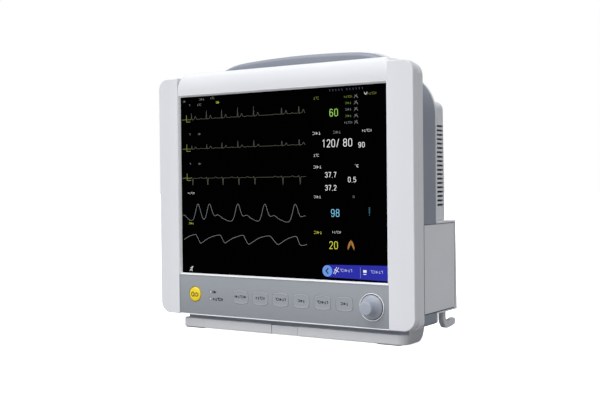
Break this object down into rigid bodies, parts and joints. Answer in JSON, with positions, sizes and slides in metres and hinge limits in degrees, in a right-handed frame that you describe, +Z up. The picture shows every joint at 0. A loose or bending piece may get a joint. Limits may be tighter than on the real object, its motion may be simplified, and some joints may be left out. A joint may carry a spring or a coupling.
{
  "type": "patient monitor",
  "caption": "Bedside patient monitor: wide screen over a silver key panel with a round power key and jog knob, top handle, vented rear cover, side battery door and sensor sockets.",
  "frame": {"origin": "on the floor plane under the middle of the overall width and depth", "axes": "+X to the right of someone facing the screen, +Y from the screen into the case, +Z up"},
  "size_m": [0.376, 0.144, 0.3525],
  "materials": {
    "shell_white": "fine moulded texture, satin",
    "shell_light": "fine moulded texture, satin",
    "shell_slate": "fine moulded texture, satin",
    "panel_silver": "silver-grey printed film, satin",
    "key_silver": "silver-grey embossed film, satin",
    "button_yellow": "smooth, semi-gloss",
    "knob_grey": "painted, satin",
    "ring_white": "bright, glossy",
    "lens_clear": "translucent, glossy",
    "screen_glass": "dark anti-glare display surface",
    "rubber": "matt",
    "steel": "zinc plated",
    "aluminium": "mill finish",
    "board_green": "solder mask",
    "black_plastic": "moulded",
    "brass": "turned",
    "socket_blue": "moulded, semi-gloss"
  },
  "bodies": {
    "case": {"base_plate": "shell_light", "battery_bay": "shell_light", "battery_pack": "black_plastic", "cable_hook": "shell_light", "control_panel": "panel_silver", "cover_screw_left": "steel", "cover_screw_right": "steel", "door_hinge_pin": "steel", "earth_stud": "brass", "ecg_socket": "socket_blue", "encoder_body": "black_plastic", "fan_frame": "black_plastic", "fan_grille": "shell_light", "foot_frame": "shell_white", "foot_front_left": "rubber", "foot_front_right": "rubber", "foot_rear_left": "rubber", "foot_rear_right": "rubber", "front_bezel": "shell_white", "handle_front": "shell_slate", "handle_rear": "shell_light", "heat_sink": "aluminium", "internal_chassis": "steel", "keypad_board": "board_green", "knob_ring": "ring_white", "lcd_chassis": "aluminium", "lcd_panel": "screen_glass", "led_lens_mains": "lens_clear", "led_lens_power": "lens_clear", "main_board": "board_green", "mains_inlet": "black_plastic", "mid_housing": "shell_slate", "mounting_plate": "steel", "network_port": "aluminium", "parameter_board": "board_green", "port_board": "board_green", "power_supply": "aluminium", "pressure_port": "steel", "pressure_pump": "black_plastic", "rear_cover": "shell_light", "sensor_bay": "shell_light", "sensor_panel": "shell_light", "speaker": "black_plastic", "spo2_socket": "socket_blue", "temperature_socket_1": "black_plastic", "temperature_socket_2": "black_plastic", "usb_port": "aluminium"},
    "power_button": {"power_button": "button_yellow"},
    "encoder_plunger": {"encoder_plunger": "aluminium"},
    "knob": {"jog_knob": "knob_grey", "encoder_shaft": "steel"},
    "battery_door": {"battery_door": "shell_light"},
    "release_tab": {"release_tab": "shell_white"},
    "fan_rotor": {"fan_rotor": "black_plastic"},
    "key_silence": {"key_silence": "key_silver"},
    "key_pause": {"key_pause": "key_silver"},
    "key_freeze": {"key_freeze": "key_silver"},
    "key_pressure": {"key_pressure": "key_silver"},
    "key_record": {"key_record": "key_silver"},
    "key_menu": {"key_menu": "key_silver"}
  },
  "joints": [
    {"name": "power_push", "type": "slide", "parent": "case", "child": "power_button", "axis": [0, 1, 0], "range_m": [0, 0.0015], "stiffness_N_per_m": 900},
    {"name": "silence_push", "type": "slide", "parent": "case", "child": "key_silence", "axis": [0, 1, 0], "range_m": [0, 0.0008], "stiffness_N_per_m": 1500},
    {"name": "pause_push", "type": "slide", "parent": "case", "child": "key_pause", "axis": [0, 1, 0], "range_m": [0, 0.0008], "stiffness_N_per_m": 1500},
    {"name": "freeze_push", "type": "slide", "parent": "case", "child": "key_freeze", "axis": [0, 1, 0], "range_m": [0, 0.0008], "stiffness_N_per_m": 1500},
    {"name": "pressure_push", "type": "slide", "parent": "case", "child": "key_pressure", "axis": [0, 1, 0], "range_m": [0, 0.0008], "stiffness_N_per_m": 1500},
    {"name": "record_push", "type": "slide", "parent": "case", "child": "key_record", "axis": [0, 1, 0], "range_m": [0, 0.0008], "stiffness_N_per_m": 1500},
    {"name": "menu_push", "type": "slide", "parent": "case", "child": "key_menu", "axis": [0, 1, 0], "range_m": [0, 0.0008], "stiffness_N_per_m": 1500},
    {"name": "knob_push", "type": "slide", "parent": "case", "child": "encoder_plunger", "axis": [0, 1, 0], "range_m": [0, 0.0008], "stiffness_N_per_m": 2500},
    {"name": "knob_turn", "type": "hinge", "parent": "encoder_plunger", "child": "knob", "pos_m": [0.1326, -0.062, 0.0454], "axis": [0, 1, 0], "continuous": true},
    {"name": "door_swing", "type": "hinge", "parent": "case", "child": "battery_door", "pos_m": [0.1829, 0.0582, 0.088], "axis": [0, 0, 1], "range_deg": [0, 100]},
    {"name": "release_push", "type": "slide", "parent": "case", "child": "release_tab", "axis": [0, 1, 0], "range_m": [0, 0.004], "stiffness_N_per_m": 800},
    {"name": "fan_spin", "type": "hinge", "parent": "case", "child": "fan_rotor", "pos_m": [0.08, 0.0508, 0.2185], "axis": [0, 1, 0], "continuous": true}
  ]
}
